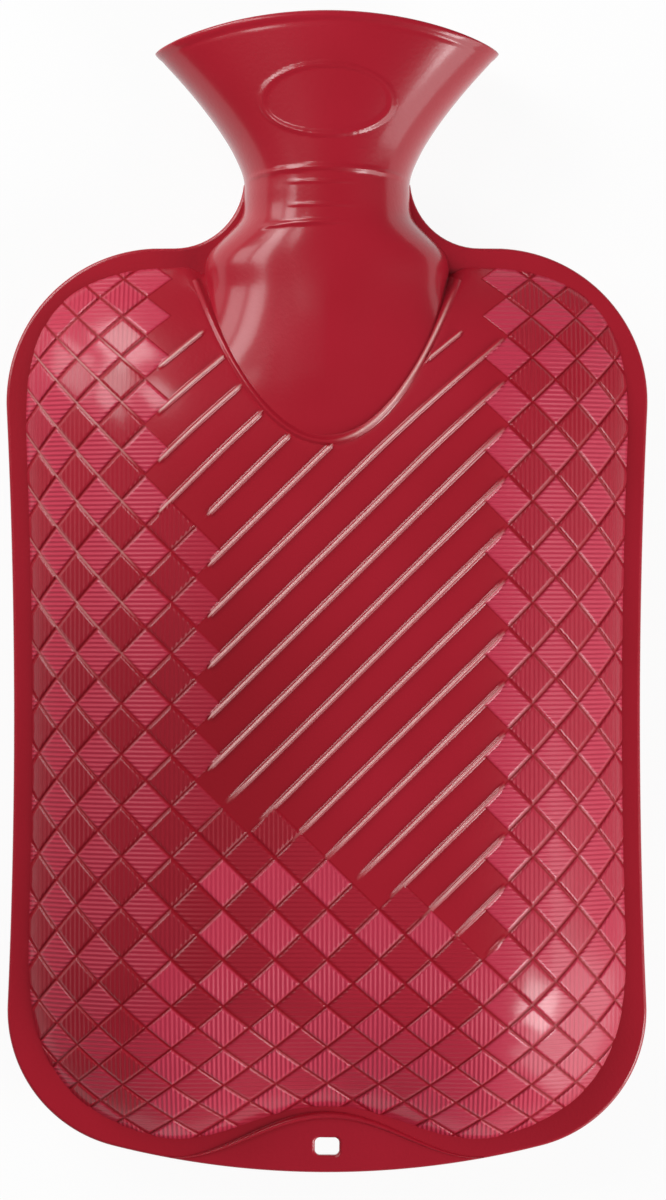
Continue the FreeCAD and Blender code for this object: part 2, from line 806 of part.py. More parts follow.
def make_stopper():
    """Screw stopper: cored shank, flange over the washer and a flat wing to turn it by."""
    body = doc.addObject("PartDesign::Body", "Stopper")
    bind(body, Placement__Base__z="centre_z")
    core = "shank_radius - shank_wall"
    profile = [
        ("0", "plug_flange_y - plug_floor"),
        (core, "plug_flange_y - plug_floor"),
        (core, "neck_base_y"),
        ("shank_radius", "neck_base_y"),
        ("shank_radius", "plug_flange_y"),
        ("washer_radius", "plug_flange_y"),
        ("washer_radius", "wing_base_y"),
        ("0", "wing_base_y"),
    ]
    revolve(body, "StopperTurned", polygon_sketch(body, "StopperProfile", profile))
    wing_low = "wing_base_y - plug_flange_thickness / 2"
    wing_top = "wing_base_y + wing_height"
    wing = [
        ("-wing_half_width", wing_low),
        ("wing_half_width", wing_low),
        ("wing_half_width", wing_top),
        ("-wing_half_width", wing_top),
    ]
    pad = body.newObject("PartDesign::Pad", "Wing")
    pad.Profile = polygon_sketch(body, "WingOutline", wing)
    pad.Midplane = True
    bind(pad, Length="wing_thickness")
    doc.recompute()
    tops = [(side * size("wing_half_width"), value_of(wing_top)) for side in (-1, 1)]
    round_corners(body, "WingCorners", tops, "wing_top_radius")
    for name, side in (("FrontGrip", 1), ("BackGrip", -1)):
        cut_grip(body, name, side)
    return body


def cut_grip(body, name, side):
    """Shallow recess for the fingers in one face of the wing."""
    half_width = "wing_half_width - grip_margin"
    low = "wing_base_y + grip_margin"
    high = "wing_base_y + wing_height - grip_margin"
    left = "-(%s)" % half_width
    corners = [(left, low), (half_width, low), (half_width, high), (left, high)]
    sketch = polygon_sketch(body, name + "Outline", corners)
    bind(sketch, AttachmentOffset__Base__z="%d * (wing_thickness / 2 - grip_depth)" % side)
    pocket = body.newObject("PartDesign::Pocket", name)
    pocket.Profile = sketch
    pocket.Reversed = side > 0
    bind(pocket, Length="2 * grip_depth")
    doc.recompute()


def make_washer():
    """Flat rubber ring round the shank, between the stopper's flange and the seat in the funnel."""
    body = doc.addObject("PartDesign::Body", "SealingWasher")
    bind(body, Placement__Base__z="centre_z")
    inner = "shank_radius + washer_gap"
    profile = [
        (inner, "seat_y"),
        ("washer_radius", "seat_y"),
        ("washer_radius", "plug_flange_y"),
        (inner, "plug_flange_y"),
    ]
    revolve(body, "WasherTurned", polygon_sketch(body, "WasherProfile", profile))
    return body


def check_and_export(parts):
    """Stop at any failed object or bad solid, then write each piece to its own file."""
    doc.recompute()
    failed = [item.Name for item in doc.Objects if "Invalid" in item.State or "Error" in item.State]
    if failed:
        raise RuntimeError("failed: " + ", ".join(failed))
    for label, item in parts.items():
        item.Label = label
        if item.Shape.isNull() or not item.Shape.isValid():
            raise RuntimeError("bad shape: " + label)
    os.makedirs("parts", exist_ok=True)
    for label, item in parts.items():
        item.Shape.exportStep(os.path.join("parts", label + ".step"))
        shape = item.Shape
        print(label, len(shape.Solids), "solid", round(shape.Volume), "mm3", len(shape.Faces), "faces")


check_and_export({
    "sealing_washer": make_washer(),
    "stopper": make_stopper(),
    "bottle": make_bottle(),
})
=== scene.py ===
import math

import bpy
import numpy as np
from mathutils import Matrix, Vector


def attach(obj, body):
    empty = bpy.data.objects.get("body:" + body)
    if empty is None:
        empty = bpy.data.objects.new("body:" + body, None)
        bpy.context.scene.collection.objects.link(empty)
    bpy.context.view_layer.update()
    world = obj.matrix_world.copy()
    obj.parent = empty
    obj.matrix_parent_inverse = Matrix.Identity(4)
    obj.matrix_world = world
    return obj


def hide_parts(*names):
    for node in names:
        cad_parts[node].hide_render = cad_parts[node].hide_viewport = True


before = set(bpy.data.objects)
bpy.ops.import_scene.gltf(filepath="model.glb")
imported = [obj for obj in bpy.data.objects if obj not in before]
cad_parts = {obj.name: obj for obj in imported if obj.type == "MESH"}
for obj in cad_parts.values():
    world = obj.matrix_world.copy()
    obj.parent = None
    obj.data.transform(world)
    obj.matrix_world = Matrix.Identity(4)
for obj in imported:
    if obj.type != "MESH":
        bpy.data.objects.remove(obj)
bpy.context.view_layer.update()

# Lengths here are millimetres and become metres in make_piece. The bottle lies on its back,
# X across it, Y towards the mouth, Z up. The values repeat the model's own sizes.
MM = 0.001

# Body outline
WAIST_X = 89.8
WAIST_Y = -34.5
SIDE_RADIUS = 1861.0
BOTTOM_Y = -165.0
BOTTOM_RADIUS = 250.0
BOTTOM_REACH = 120.0
SHOULDER_Y = 100.0
TOP_CORNER = 44.0
BOTTOM_CORNER = 40.0
NECK_FILLET = 20.0
EDGE_WIDTH = 4.0
EDGE_THICKNESS = 3.0
EDGE_ROUNDING = 0.9
EDGE_ROUNDING_STEPS = 3
EDGE_SHARP_ANGLE = 35
CORNER_SEARCH_TOP = -60.0
CORNER_SEARCH_ROUNDS = 60
HOLE_CORNER_POINTS = 8

# Swelling of the reservoir
MIDDLE_Z = 25.0
SWELL_WIDTH = 60.0
SWELL_POWER = 2.5
BACK_PRESS = 0.8
BORDER_HEIGHT = 0.5
BACK_SPACING = 3.0
BACK_HALF_WIDTH = 96
BACK_LOW_Y = -171
BACK_HIGH_Y = 108
FRONT_HALF_WIDTH = 100.0
FRONT_LOW_Y = -172.0
FRONT_HIGH_Y = 108.0

# Inner border of the welded edge: how high the skins stand over it
INNER_HEIGHT = 6.0
INNER_START = 20.0
INNER_STEP = 0.5
INNER_STEPS = 400
INNER_DEGREES = 3

# Hanging tab
ARCH_HEIGHT = 17.8
ARCH_HALF_WIDTH = 50.0
RIDGE_WIDTH = 2.4
RIDGE_HEIGHT = 1.6
RIDGE_REACH = 0.9
RIDGE_POINTS = 121
RIDGE_SIDES = 24
HOLE_HALF_WIDTH = 3.5
HOLE_HALF_HEIGHT = 2.5
HOLE_CORNER = 1.5
HOLE_Y = -157.5

# Collar, neck and funnel
COLLAR_LENGTH = 53.0
COLLAR_HALF_WIDTH = 35.0
COLLAR_TIP_Y = 47.0
COLLAR_CURVE = 26.5
NECK_RADIUS = 23.8
SEAT_Y = 119.0
RIM_Y = 165.0
RIM_RADIUS = 133.2
MOUTH_HALF_WIDTH = 49.4
MOUTH_HALF_DEPTH = 23.9
FUNNEL_LENGTH = 36.5
FLARE_POWER = 1.4
FLARE_MARGIN = 0.2
FLARE_STEP = 0.2
FLARE_END = 1.5
WALL = 2.0
BORE_RADIUS = 18.5
SHANK_RADIUS = 18.1
BORE_CHAMFER = 0.3
SEAT_INNER_RADIUS = 21.0
THREAD_PITCH = 5.0
THREAD_DEPTH = 1.8
THREAD_PLAY = 0.05
THREAD_HALF = 0.30
THREAD_FLANK = 0.15
THREAD_RUN_OUT = 1.5
STOPPER_THREAD_MARGIN = 0.2
STOPPER_TURNS = 144
STOPPER_RINGS = 50
NECK_BASE_Y = 104.0
RIM_BAND = 2.3
RIM_BAND_HEIGHT = 0.45
RIM_GROOVE_DEPTH = 0.6
RIM_GROOVE_BELOW = 1.9
RIM_GROOVE_HALF = 0.7
NECK_LOW_Y = 109.25
NECK_HIGH_Y = 115.25
NECK_LOW_EXTRA = 0.6

# Rings of points along the collar, neck, funnel and bore, and points in each
TUBE_TURNS = 280
COLLAR_RINGS = (36.0, 99.0, 50)
NECK_RINGS = (100.0, 118.5, 38)
FUNNEL_RINGS = 76
INSIDE_RINGS = 40
BORE_RINGS = 44
LEAST_INSIDE_SHARE = 0.02
RIM_SHARES = (0.25, 0.5, 0.75)
RIM_ROUNDS = 12

# Medallion
OVAL_HALF_WIDTH = 18.3
OVAL_HALF_HEIGHT = 9.8
OVAL_Y = 140.0
OVAL_MEAN_RADIUS = 12.0
OVAL_LINE_HALF = 0.75
MARKS_START = 5.0
MARK_HEIGHT = 0.70
MARK_SPREAD = 0.3

# The thread's marks on the neck: place, bend, half width and soft ends
UPPER_MARK_Y = 121.0
UPPER_MARK_BEND = 260.0
UPPER_MARK_HALF = 0.75
UPPER_MARK_END = (23.0, -3.0)
LOWER_MARK_Y = 105.6
LOWER_MARK_BEND = 300.0
LOWER_MARK_HALF = 0.7
LOWER_MARK_START = (-20.0, 4.0)
LOWER_MARK_END = (9.0, -14.0)
SHORT_MARK_YS = (117.0, 110.5)
SHORT_MARK_HALF = 0.5
SHORT_MARK_SHARE = 0.5
SHORT_MARK_START = (-12.0, 4.0)
SHORT_MARK_END = (10.0, -8.0)

# Raised line down the middle of the collar
KEEL_HEIGHT = 1.3
KEEL_HALF_WIDTH = 13.0
KEEL_ROUNDING = 2.0
KEEL_START = (50.0, 14.0)
KEEL_END = (98.0, -22.0)

# Place along the collar, width and depth as shares
COLLAR_SECTIONS = [
    (1.25, 2.00, 0.80),
    (1.05, 1.80, 0.940),
    (0.85, 1.62, 0.972),
    (0.65, 1.34, 0.972),
    (0.45, 1.12, 0.970),
    (0.25, 1.01, 0.965),
    (0.05, 0.980, 0.960),
]

# Raised pattern
PITCH_X = 14.64
PITCH_Y = 14.35
LATTICE_Y = -80.4
LATTICE_REACH = 20
PAD_HEIGHT = 0.55
PAD_STEP = 0.25
GROOVE_HALF = 0.45
GROOVE_SLOPE = 0.35
RIB_HALF = 0.62
RIB_HEIGHT = 0.85
# Half width of the painted highlight along each rib's crest
CREST_HIGHLIGHT_HALF = 0.37
RIB_TAPER = 12.0
RIB_LEFT = -33.0
RIB_UPPER_LEFT = -47.0
RIB_STEP_Y = 24.0
RIB_RIGHT = 49.6
RIB_LOW_Y = -54.0
RIB_FALL = 0.6
RIB_TOP_Y = 75.0
VALLEY_WIDTH = 4.6
VALLEY_DEPTH = 2.0
COLLAR_SINK = 4.0
RELIEF_FADE = (0.6, 1.2)
RIB_FOOT_SHARE = 0.35
# Painted highlight on the rib crests: its share at the ribs' foot and its fading towards their right end
CREST_HIGHLIGHT_FOOT_SHARE = 0.15
CREST_HIGHLIGHT_END_MARGIN = 2
CREST_HIGHLIGHT_END_SPAN = 30.0
CREST_HIGHLIGHT_END_SHARE = 0.25

# Section of the band round the collar: distance outside its border, height over the skin
BAND_SECTION = [
    (-1.5, -2.2), (-0.5, -1.3), (0.4, -1.15), (1.2, -1.1), (1.9, -0.8), (2.4, -0.25), (2.75, 0.30),
    (3.05, 0.55), (3.35, 0.60), (3.65, 0.45), (3.95, 0.12), (4.4, -0.15), (5.0, -0.45),
]
# Painted highlight on the lip: its middle and half width
LIP_MIDDLE = 3.2
LIP_HALF = 0.5
BAND_HALF_WIDTH = 34.5
BAND_POINTS = 240
# Where along the band the lip's painted highlight fades in and out
LIP_START = (1.0, 8.0)
LIP_END = (34.0, -6.0)

# Thin raised lines that fall to the right on the left of the front
FINE_LINE_HALF = 0.34
FINE_LINE_HEIGHT = 0.25
# Share of the painted highlight on the fine lines
FINE_LINE_HIGHLIGHT = 0.4
FINE_LINE_X = (-52.0, -6.0)
FINE_LINE_LOW_Y = (-32.0, 30.0)
FINE_LINE_TOP_Y = (76.0, -8.0)

# Where painted light and painted shade fall on the front: the start of each soft rise and its span
SIDE_LIGHT = (30.0, 12.0)
LEFT_SIDE_LIGHT = (-60.0, 110.0)
FOOT_LIGHT = (-70.0, -10.0)
FOOT_RIGHT = (53.0, -10.0)
LOWEST_LIGHT = (-112.0, -14.0)
RIGHT_LIGHT = (30.0, 25.0)
RIGHT_LIGHT_Y = (60.0, -60.0)
RIGHT_FOOT_LIGHT = (-40.0, -40.0)
TOP_CORNER_LIGHT = (120.0, 25.0)
FOOT_CORNER_LIGHT = (165.0, 25.0)
LEFT_SHADE_X = (15.0, -50.0)
LEFT_SHADE_Y = (35.0, -60.0)
LEFT_SHADE_END = (-112.0, -20.0)
GROOVE_SHADE = 0.6
LEFT_SHADE = 0.75
LEFT_SHADE_LOSS = 0.8

# Left limit of the painted sheen on the foot's diamonds: one place on it, its lean and its soft width
FOOT_LEFT_X = -38.0
FOOT_LEFT_Y = -80.0
FOOT_LEFT_LEAN = 0.28
FOOT_LEFT_SPAN = 8.0

# How far painted sheen lightens the diamonds, as shares of the pale red that paints it
LEFT_SIDE_SHEEN = 0.62
LEFT_SIDE_GAIN = 0.30
LEVEL_SHEEN = 0.15
LEVEL_FOOT_GAIN = 0.35
UPRIGHT_SHEEN = 0.10
UPRIGHT_RIGHT_GAIN = 0.25
CORNER_HIGHLIGHT_GAIN = 0.8

# Where the diamonds crowd together towards the sides, the foot and the shoulders
SIDE_CROWD = (28.0, 60.0, 8.1, 4)
FOOT_CROWD = (100.0, 46.0, 9.2, 2)
TOP_CROWD = (38.0, 46.0, 6.0, 2)


def smooth_step(value):
    """0 below 0, 1 above 1 and a soft rise between."""
    share = np.clip(value, 0.0, 1.0)
    return share * share * (3 - 2 * share)


def ramp(value, rule):
    """Soft rise from 0 at the rule's start to 1 at its span further on; a span below 0 goes down."""
    start, span = rule
    return smooth_step((value - start) / span)


def line_share(distance, half):
    """Rounded section of a raised line: 1 in its middle and 0 from its half width on."""
    return np.clip(1 - (distance / half) ** 2, 0.0, 1.0)


def crowded(place, rule):
    """Lattice coordinate of a place whose far stretch is seen squeezed together."""
    start, span, gain, power = rule
    return place + gain * (np.maximum(0.0, place - start) / span) ** power


def spread_out(coordinate, low_rule, high_rule):
    """Place of a lattice coordinate, the other way round."""
    places = np.linspace(-220.0, 220.0, 4401)
    table = np.where(places > 0, crowded(places, high_rule), -crowded(-places, low_rule))
    return np.interp(coordinate, table, places)


def side_half_width(y):
    """Half width of the body at a place along it."""
    return WAIST_X + (y - WAIST_Y) ** 2 / (2 * SIDE_RADIUS)


def outline_bottom(x):
    """Lowest place of the outline at a distance from the middle line."""
    return BOTTOM_Y + BOTTOM_RADIUS - np.sqrt(BOTTOM_RADIUS**2 - np.minimum(np.abs(x), BOTTOM_REACH) ** 2)


def arch_share(x):
    """Height share of the arch over the tab."""
    share = np.minimum(np.abs(x) / ARCH_HALF_WIDTH, 1.0)
    return np.cos(np.pi * share / 2) ** 2


def corner_power(radius):
    """Power of the superellipse that follows a round corner of the body."""
    depth = (1 - math.sqrt(0.5)) * (radius - EDGE_WIDTH) / SWELL_WIDTH
    return math.log(2) / -math.log(1 - depth)


def swell_height(x, y, rise=MIDDLE_Z):
    """Height of the reservoir's skin over the middle plane, below 0 outside its border."""
    side = side_half_width(y) - EDGE_WIDTH
    across = np.maximum(0.0, np.abs(x) - side + SWELL_WIDTH) / SWELL_WIDTH
    border = outline_bottom(x) + EDGE_WIDTH + (ARCH_HEIGHT - EDGE_WIDTH) * arch_share(x)
    upper = y > WAIST_Y
    towards_top = y - (SHOULDER_Y - EDGE_WIDTH) + SWELL_WIDTH
    towards_foot = border + SWELL_WIDTH - y
    along = np.maximum(0.0, np.where(upper, towards_top, towards_foot)) / SWELL_WIDTH
    power = np.where(upper, corner_power(TOP_CORNER), corner_power(BOTTOM_CORNER))
    reach = (across**power + along**power) ** (1 / power)
    return rise * (1 - reach**SWELL_POWER)


def pull_to_border(x, y, height):
    """Move places outside the border onto the line where the skin has the given height."""
    step = 0.05
    rounds = 6
    least_steepness = 0.05
    longest = 2.0
    for _ in range(rounds):
        value = swell_height(x, y)
        slope_x = (swell_height(x + step, y) - swell_height(x - step, y)) / (2 * step)
        slope_y = (swell_height(x, y + step) - swell_height(x, y - step)) / (2 * step)
        steepness = np.maximum(slope_x**2 + slope_y**2, least_steepness)
        move = np.where(value < height, (height - value) / steepness, 0.0)
        x = x + np.clip(move * slope_x, -longest, longest)
        y = y + np.clip(move * slope_y, -longest, longest)
    return x, y


def grid_faces(rows, columns, closed=False):
    """Quads of a grid whose points are numbered row by row."""
    last = columns if closed else columns - 1
    faces = []
    for i in range(rows - 1):
        for j in range(last):
            k = (j + 1) % columns
            faces.append((i * columns + j, i * columns + k, (i + 1) * columns + k, (i + 1) * columns + j))
    return faces


def used_points(faces):
    """Numbers of the points that faces use, and the faces renumbered to match."""
    used = sorted({index for face in faces for index in face})
    renumber = {old: new for new, old in enumerate(used)}
    return used, [tuple(renumber[index] for index in face) for face in faces]


def make_piece(name, points, faces, material, body, attributes=None):
    """Smooth-shaded mesh from points in millimetres, riding on a body."""
    mesh = bpy.data.meshes.new(name)
    mesh.from_pydata([tuple(point) for point in np.asarray(points) * MM], [], faces)
    for key, values in (attributes or {}).items():
        layer = mesh.attributes.new(key, "FLOAT", "POINT")
        layer.data.foreach_set("value", np.asarray(values, np.float32))
    mesh.validate()
    mesh.polygons.foreach_set("use_smooth", [True] * len(mesh.polygons))
    mesh.materials.append(material)
    piece = bpy.data.objects.new(name, mesh)
    bpy.context.scene.collection.objects.link(piece)
    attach(piece, body)
    return piece


def new_material(name):
    material = bpy.data.materials.new(name)
    material.use_nodes = True
    return material, material.node_tree.nodes, material.node_tree.links


def math_node(nodes, links, operation, first, second=None):
    """Math node whose inputs are sockets or numbers; returns its output."""
    node = nodes.new("ShaderNodeMath")
    node.operation = operation
    for socket, value in zip(node.inputs, (first, second)):
        if value is None:
            continue
        if isinstance(value, (int, float)):
            socket.default_value = value
        else:
            links.new(value, socket)
    return node.outputs[0]


def attribute(nodes, name):
    node = nodes.new("ShaderNodeAttribute")
    node.attribute_name = name
    return node.outputs["Fac"]


def grain(nodes, links, coordinates, scale, detail):
    noise = nodes.new("ShaderNodeTexNoise")
    noise.inputs["Scale"].default_value = scale
    noise.inputs["Detail"].default_value = detail
    links.new(coordinates, noise.inputs["Vector"])
    return noise.outputs["Fac"]


def mix_colours(nodes, links, factor, first, second):
    mix = nodes.new("ShaderNodeMix")
    mix.data_type = "RGBA"
    links.new(factor, mix.inputs["Factor"])
    for socket, value in ((mix.inputs["A"], first), (mix.inputs["B"], second)):
        if isinstance(value, tuple):
            socket.default_value = (*value, 1.0)
        else:
            links.new(value, socket)
    return mix.outputs["Result"]


# Linear colours of the soft plastic, among them the reds that paint shade, sheen and highlights
DEEP_RED = (0.36, 0.008, 0.018)
MID_RED = (0.47, 0.013, 0.033)
# Pale red of the painted sheen on the diamonds
SHEEN_RED = (0.62, 0.042, 0.090)
# Painted highlight on the rib crests, the fine lines and the lip round the collar
CREST_HIGHLIGHT_RED = (0.80, 0.42, 0.40)
# Painted shade in the grooves and over the lower left of the front
SHADE_RED = (0.27, 0.005, 0.012)
STOPPER_RED = (0.34, 0.010, 0.020)
WASHER_GREY = (0.60, 0.56, 0.50)

# Gloss, fine ribs and grain of the soft plastic
GLOSS_ROUGHNESS = 0.36
REFRACTION = 1.5
SPECULAR = 0.18
COAT = 0.70
COAT_ROUGHNESS = 0.16
GROOVE_COAT_LOSS = 0.60
FINE_RIB_PITCH = 1.3
FINE_RIB_HEIGHT = 0.10
GRAIN_SCALE = 900.0
GRAIN_HEIGHT = 0.06
GRAIN_DETAIL = 3.0
CLOUD_SCALE = 22.0
CLOUD_DETAIL = 2.0


def soft_plastic():
    """Glossy moulded plastic with a fine grain, soft clouding, painted shade, sheen and highlights and, on
    the front, finely ribbed pads.
    """
    material, nodes, links = new_material("bottle_plastic")
    shader = nodes["Principled BSDF"]
    shader.inputs["Roughness"].default_value = GLOSS_ROUGHNESS
    shader.inputs["IOR"].default_value = REFRACTION
    shader.inputs["Specular IOR Level"].default_value = SPECULAR
    shader.inputs["Coat Roughness"].default_value = COAT_ROUGHNESS
    coordinates = nodes.new("ShaderNodeTexCoord").outputs["Object"]
    axes = nodes.new("ShaderNodeSeparateXYZ")
    links.new(coordinates, axes.inputs[0])
    ribs_per_metre = 2 * math.pi / (FINE_RIB_PITCH * MM)
    waves = []
    for axis in ("X", "Y"):
        turned = math_node(nodes, links, "MULTIPLY", axes.outputs[axis], ribs_per_metre)
        waves.append(math_node(nodes, links, "SINE", turned))
    family = attribute(nodes, "level_ribs")
    other = math_node(nodes, links, "SUBTRACT", 1.0, family)
    level = math_node(nodes, links, "MULTIPLY", waves[1], family)
    upright = math_node(nodes, links, "MULTIPLY", waves[0], other)
    wave = math_node(nodes, links, "ADD", level, upright)
    ribbed = math_node(nodes, links, "MULTIPLY", wave, attribute(nodes, "ribbed"))
    rib_height = math_node(nodes, links, "MULTIPLY", ribbed, FINE_RIB_HEIGHT)
    fine = grain(nodes, links, coordinates, GRAIN_SCALE, GRAIN_DETAIL)
    skin = math_node(nodes, links, "MULTIPLY", fine, GRAIN_HEIGHT)
    height = math_node(nodes, links, "ADD", rib_height, skin)
    bump = nodes.new("ShaderNodeBump")
    bump.inputs["Strength"].default_value = 1.0
    bump.inputs["Distance"].default_value = MM
    links.new(height, bump.inputs["Height"])
    links.new(bump.outputs["Normal"], shader.inputs["Normal"])
    clouds = grain(nodes, links, coordinates, CLOUD_SCALE, CLOUD_DETAIL)
    base = mix_colours(nodes, links, clouds, DEEP_RED, MID_RED)
    # Painted shade in the grooves and over the lower left
    shaded = mix_colours(nodes, links, attribute(nodes, "shade"), base, SHADE_RED)
    # Painted sheen on the diamonds
    with_sheen = mix_colours(nodes, links, attribute(nodes, "painted_sheen"), shaded, SHEEN_RED)
    # Painted highlight on the crests over the rest
    colour = mix_colours(nodes, links, attribute(nodes, "crest_highlight"), with_sheen, CREST_HIGHLIGHT_RED)
    links.new(colour, shader.inputs["Base Color"])
    duller = math_node(nodes, links, "MULTIPLY", attribute(nodes, "groove"), GROOVE_COAT_LOSS)
    links.new(math_node(nodes, links, "SUBTRACT", COAT, duller), shader.inputs["Coat Weight"])
    return material


# Change of colour and gloss over the stopper and the washer
BROAD_SCALE = 60.0
DARKER_SHARE = 0.8
ROUGHNESS_RANGE = 0.06


def plain_plastic(name, colour, roughness, grain_scale, grain_depth):
    """Moulded plastic or rubber with a fine grain and a slight change of colour."""
    material, nodes, links = new_material(name)
    shader = nodes["Principled BSDF"]
    shader.inputs["IOR"].default_value = REFRACTION
    coordinates = nodes.new("ShaderNodeTexCoord").outputs["Object"]
    fine = grain(nodes, links, coordinates, grain_scale, GRAIN_DETAIL)
    bump = nodes.new("ShaderNodeBump")
    bump.inputs["Distance"].default_value = grain_depth * MM
    links.new(fine, bump.inputs["Height"])
    links.new(bump.outputs["Normal"], shader.inputs["Normal"])
    broad = grain(nodes, links, coordinates, BROAD_SCALE, CLOUD_DETAIL)
    darker = tuple(DARKER_SHARE * channel for channel in colour)
    links.new(mix_colours(nodes, links, broad, darker, colour), shader.inputs["Base Color"])
    rough = nodes.new("ShaderNodeMapRange")
    rough.inputs["To Min"].default_value = roughness - ROUGHNESS_RANGE
    rough.inputs["To Max"].default_value = roughness + ROUGHNESS_RANGE
    links.new(broad, rough.inputs["Value"])
    links.new(rough.outputs["Result"], shader.inputs["Roughness"])
    return material


def in_rib_field(x, y):
    """Whether a place on the front lies in the field of slanting ribs."""
    left = np.where(y > RIB_STEP_Y, RIB_UPPER_LEFT, RIB_LEFT)
    floor = RIB_LOW_Y - RIB_FALL * (x - left)
    return (x > left) & (x < RIB_RIGHT) & (y > floor)


def collar_distance(x, y):
    """Distance outside the collar's U-shaped border on the front, below 0 inside it."""
    value = x**2 / COLLAR_CURVE - (y - COLLAR_TIP_Y)
    return value / np.sqrt(1 + (2 * x / COLLAR_CURVE) ** 2)


def lattice_steps():
    """Places of the grid lines within one diamond, closer together at its edges."""
    half = [0.02, 0.045, 0.075, 0.12, 0.25, 0.40]
    first = [-0.5 + place for place in half]
    second = [0.5 - place for place in reversed(half)]
    return [-0.5] + first + [0.0] + second


def diamond_centres(cell_p, cell_q):
    """Middles of diamonds on the front."""
    centre_u = (cell_p + cell_q) / 2 * PITCH_X
    centre_v = LATTICE_Y + (cell_p - cell_q) / 2 * PITCH_Y
    x = spread_out(centre_u, SIDE_CROWD, SIDE_CROWD)
    y = spread_out(centre_v, FOOT_CROWD, TOP_CROWD)
    return x, y


def front_relief(p, q, x, y):
    """Height of the pads, ribs and collar valley over the skin, and the looks of each place, painted light
    and shade among them.
    """
    across = 1 / math.hypot(1 / PITCH_X, 1 / PITCH_Y)
    cell_p = np.round(p)
    cell_q = np.round(q)
    centre_x, centre_y = diamond_centres(cell_p, cell_q)
    level = (np.mod(cell_p + cell_q, 2) > 0.5).astype(float)
    depth_p = (0.5 - np.abs(p - cell_p)) * across
    depth_q = (0.5 - np.abs(q - cell_q)) * across
    away = collar_distance(x, y)
    patterned = np.where(in_rib_field(centre_x, centre_y) | (away < VALLEY_WIDTH), 0.0, 1.0)
    fade = ramp(swell_height(x, y), RELIEF_FADE)

    # Diamonds
    inner = np.minimum(depth_p, depth_q) - GROOVE_HALF
    pad = smooth_step(inner / GROOVE_SLOPE + 0.5) * patterned
    relief = pad * fade * (PAD_HEIGHT - PAD_STEP * level)

    # Slanting ribs
    in_field = in_rib_field(x, y) & (y < RIB_TOP_Y) & (away > VALLEY_WIDTH)
    low_end = smooth_step((y - (RIB_LOW_Y - RIB_FALL * (x - RIB_LEFT))) / RIB_TAPER)
    rib = np.sqrt(line_share(depth_q, RIB_HALF)) * in_field
    rib = rib * (RIB_FOOT_SHARE + (1 - RIB_FOOT_SHARE) * low_end)
    relief = relief + RIB_HEIGHT * rib

    # Fine lines on the left
    in_panel = ramp(x, FINE_LINE_X) * ramp(y, FINE_LINE_LOW_Y) * ramp(y, FINE_LINE_TOP_Y)
    fine = line_share(depth_p, FINE_LINE_HALF) * in_panel * fade
    relief = relief + FINE_LINE_HEIGHT * fine

    # Valley round the collar, and the skin sunk under the collar
    bed = VALLEY_DEPTH * smooth_step(1 - away / VALLEY_WIDTH)
    sunk = COLLAR_SINK * smooth_step(-away / COLLAR_SINK)
    relief = relief - bed - sunk

    # Looks: painted highlights on the rib crests and fine lines, painted sheen on the diamonds, painted
    # shade in the grooves and over the lower left
    # Painted highlight along the rib crests and the fine lines
    crest_highlight = line_share(depth_q, CREST_HIGHLIGHT_HALF) * (rib > 0)
    crest_highlight = crest_highlight * (CREST_HIGHLIGHT_FOOT_SHARE + (1 - CREST_HIGHLIGHT_FOOT_SHARE) * low_end)
    crest_highlight = crest_highlight * smooth_step((RIB_RIGHT + CREST_HIGHLIGHT_END_MARGIN - x) / CREST_HIGHLIGHT_END_SPAN + CREST_HIGHLIGHT_END_SHARE)
    crest_highlight = np.maximum(crest_highlight, FINE_LINE_HIGHLIGHT * fine)
    groove = (1 - pad) * fade * patterned * (1 - crest_highlight)
    # Painted shade over the lower left of the front, fading out towards the foot
    lower_left_shade = ramp(x, LEFT_SHADE_X) * ramp(y, LEFT_SHADE_Y)
    lower_left_shade = lower_left_shade * (1 - LEFT_SHADE_LOSS * ramp(y, LEFT_SHADE_END))
    looks = {
        "painted_sheen": pad * fade * family_sheen(centre_x, centre_y, level),
        "ribbed": pad * fade,
        "level_ribs": level,
        "crest_highlight": crest_highlight,
        "groove": groove,
        # Painted shade in the grooves and over the lower left
        "shade": np.maximum(GROOVE_SHADE * groove, LEFT_SHADE * lower_left_shade),
    }
    return relief, looks


def family_sheen(x, y, level):
    """Painted sheen on a diamond in place of the light its fine ribs catch: on level-ribbed ones at the
    sides, upright-ribbed ones at the foot, with painted highlights in the upper left and lower right
    corners.
    """
    left_side = LEFT_SIDE_SHEEN + LEFT_SIDE_GAIN * ramp(y, LEFT_SIDE_LIGHT)
    side = ramp(np.abs(x), SIDE_LIGHT) * np.where(x < 0, left_side, 1.0)
    left_limit = FOOT_LEFT_X + FOOT_LEFT_LEAN * (y - FOOT_LEFT_Y)
    foot = ramp(y, FOOT_LIGHT) * ramp(x, FOOT_RIGHT)
    foot = foot * smooth_step((x - left_limit) / FOOT_LEFT_SPAN + 0.5)
    low_right = ramp(x, RIGHT_LIGHT) * ramp(y, RIGHT_LIGHT_Y)
    # Painted highlights in the upper left and lower right corners
    corner = ramp(y - x, TOP_CORNER_LIGHT) + ramp(x - y, FOOT_CORNER_LIGHT)
    least_level = LEVEL_SHEEN + LEVEL_FOOT_GAIN * ramp(y, LOWEST_LIGHT)
    level_sheen = np.maximum(side * (1 - foot), least_level)
    least_upright = UPRIGHT_SHEEN + UPRIGHT_RIGHT_GAIN * low_right * (1 + ramp(y, RIGHT_FOOT_LIGHT))
    upright_sheen = np.maximum(foot, least_upright)
    sheen = np.where(level > 0.5, level_sheen, upright_sheen)
    return np.clip(sheen + CORNER_HIGHLIGHT_GAIN * corner, 0.0, 1.0)


